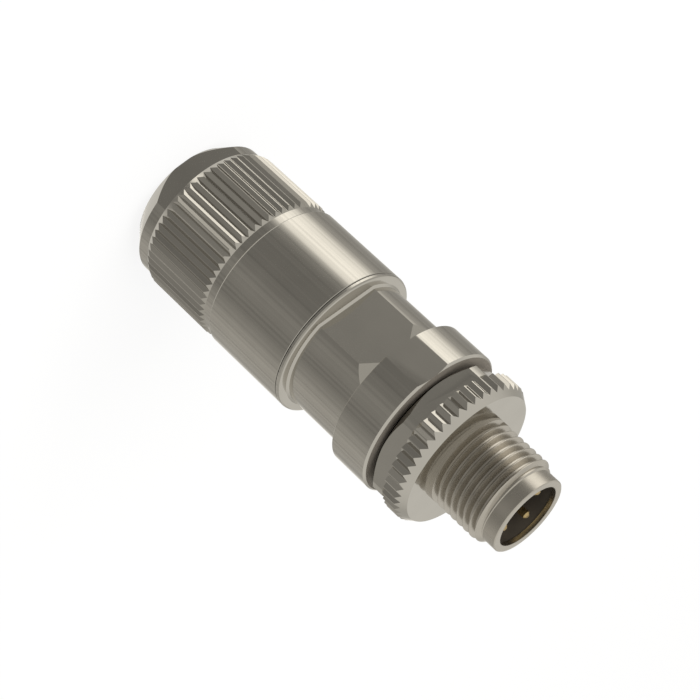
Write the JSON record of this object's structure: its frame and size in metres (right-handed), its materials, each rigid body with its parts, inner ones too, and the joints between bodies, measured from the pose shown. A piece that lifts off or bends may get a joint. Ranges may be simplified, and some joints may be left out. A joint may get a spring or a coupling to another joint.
{
  "type": "field-attachable circular connector",
  "caption": "Straight screw-locking circular cable plug in nickel-plated metal, with a knurled gland nut and a threaded coupling nut.",
  "frame": {"origin": "centre of the gland nut's rear face, on which the connector stands", "axes": "+Z along the connector's axis from the cable end to the mating end; -Y is the side that faces the camera in the picture"},
  "size_m": [0.0202, 0.0202, 0.0593],
  "materials": {
    "nickel_brass": "nickel plated, turned and tumbled to a soft sheen",
    "gold_contact": "gold flash over nickel",
    "clamp_brass": "tin plated",
    "spring_steel": "bright zinc",
    "slip_plastic": "moulded, natural",
    "cage_plastic": "moulded, satin",
    "seal_rubber": "matt",
    "ring_rubber": "matt",
    "insert_plastic": "moulded, satin",
    "block_plastic": "moulded, satin"
  },
  "bodies": {
    "head": {"front_housing": "nickel_brass", "snap_ring": "spring_steel", "housing_seal_ring": "ring_rubber", "contact_insert": "insert_plastic", "terminal_block": "block_plastic", "contact_pin_1": "gold_contact", "contact_pin_2": "gold_contact", "contact_pin_3": "gold_contact", "contact_pin_4": "gold_contact", "terminal_clamp_1": "clamp_brass", "terminal_clamp_2": "clamp_brass", "terminal_clamp_3": "clamp_brass", "terminal_clamp_4": "clamp_brass"},
    "coupling_nut": {"coupling_nut": "nickel_brass"},
    "cable_clamp": {"clamping_cage": "cage_plastic", "cable_seal": "seal_rubber", "shield_ring": "clamp_brass"},
    "rear_sleeve": {"rear_sleeve": "nickel_brass", "gland_seal_ring": "ring_rubber"},
    "thrust_ring": {"thrust_ring": "slip_plastic"},
    "gland_nut": {"gland_nut": "nickel_brass"},
    "pressure_plate_1": {"pressure_plate_1": "clamp_brass"},
    "terminal_screw_1": {"terminal_screw_1": "spring_steel"},
    "pressure_plate_2": {"pressure_plate_2": "clamp_brass"},
    "terminal_screw_2": {"terminal_screw_2": "spring_steel"},
    "pressure_plate_3": {"pressure_plate_3": "clamp_brass"},
    "terminal_screw_3": {"terminal_screw_3": "spring_steel"},
    "pressure_plate_4": {"pressure_plate_4": "clamp_brass"},
    "terminal_screw_4": {"terminal_screw_4": "spring_steel"}
  },
  "joints": [
    {"name": "coupling_nut_turn", "type": "hinge", "parent": "head", "child": "coupling_nut", "pos_m": [0, 0, 0.0502], "axis": [0, 0, 1], "continuous": true},
    {"name": "sleeve_travel", "type": "slide", "parent": "head", "child": "cable_clamp", "axis": [0, 0, -1], "range_m": [0, 0.0035]},
    {"name": "sleeve_turn", "type": "hinge", "parent": "cable_clamp", "child": "rear_sleeve", "pos_m": [0, 0, 0.0219], "axis": [0, 0, -1], "range_deg": [0, 1260]},
    {"name": "gland_travel", "type": "slide", "parent": "rear_sleeve", "child": "thrust_ring", "axis": [0, 0, -1], "range_m": [0, 0.006]},
    {"name": "gland_turn", "type": "hinge", "parent": "thrust_ring", "child": "gland_nut", "pos_m": [0, 0, 0.008], "axis": [0, 0, -1], "range_deg": [0, 2160]},
    {"name": "plate_1_travel", "type": "slide", "parent": "head", "child": "pressure_plate_1", "axis": [-1, 0, 0], "range_m": [0, 0.0015]},
    {"name": "screw_1_turn", "type": "hinge", "parent": "pressure_plate_1", "child": "terminal_screw_1", "pos_m": [0.0064, 0, 0.02125], "axis": [-1, 0, 0], "range_deg": [0, 1350]},
    {"name": "plate_2_travel", "type": "slide", "parent": "head", "child": "pressure_plate_2", "axis": [0, -1, 0], "range_m": [0, 0.0015]},
    {"name": "screw_2_turn", "type": "hinge", "parent": "pressure_plate_2", "child": "terminal_screw_2", "pos_m": [0, 0.0064, 0.02125], "axis": [0, -1, 0], "range_deg": [0, 1350]},
    {"name": "plate_3_travel", "type": "slide", "parent": "head", "child": "pressure_plate_3", "axis": [1, 0, 0], "range_m": [0, 0.0015]},
    {"name": "screw_3_turn", "type": "hinge", "parent": "pressure_plate_3", "child": "terminal_screw_3", "pos_m": [-0.0064, 0, 0.02125], "axis": [1, 0, 0], "range_deg": [0, 1350]},
    {"name": "plate_4_travel", "type": "slide", "parent": "head", "child": "pressure_plate_4", "axis": [0, 1, 0], "range_m": [0, 0.0015]},
    {"name": "screw_4_turn", "type": "hinge", "parent": "pressure_plate_4", "child": "terminal_screw_4", "pos_m": [0, -0.0064, 0.02125], "axis": [0, 1, 0], "range_deg": [0, 1350]}
  ],
  "couplings": [
    {"joint": "sleeve_travel", "follows": "sleeve_turn", "m_per_rad": 0.00015915},
    {"joint": "gland_travel", "follows": "gland_turn", "m_per_rad": 0.00015915},
    {"joint": "screw_1_turn", "follows": "plate_1_travel", "rad_per_m": 15708},
    {"joint": "screw_2_turn", "follows": "plate_2_travel", "rad_per_m": 15708},
    {"joint": "screw_3_turn", "follows": "plate_3_travel", "rad_per_m": 15708},
    {"joint": "screw_4_turn", "follows": "plate_4_travel", "rad_per_m": 15708}
  ]
}
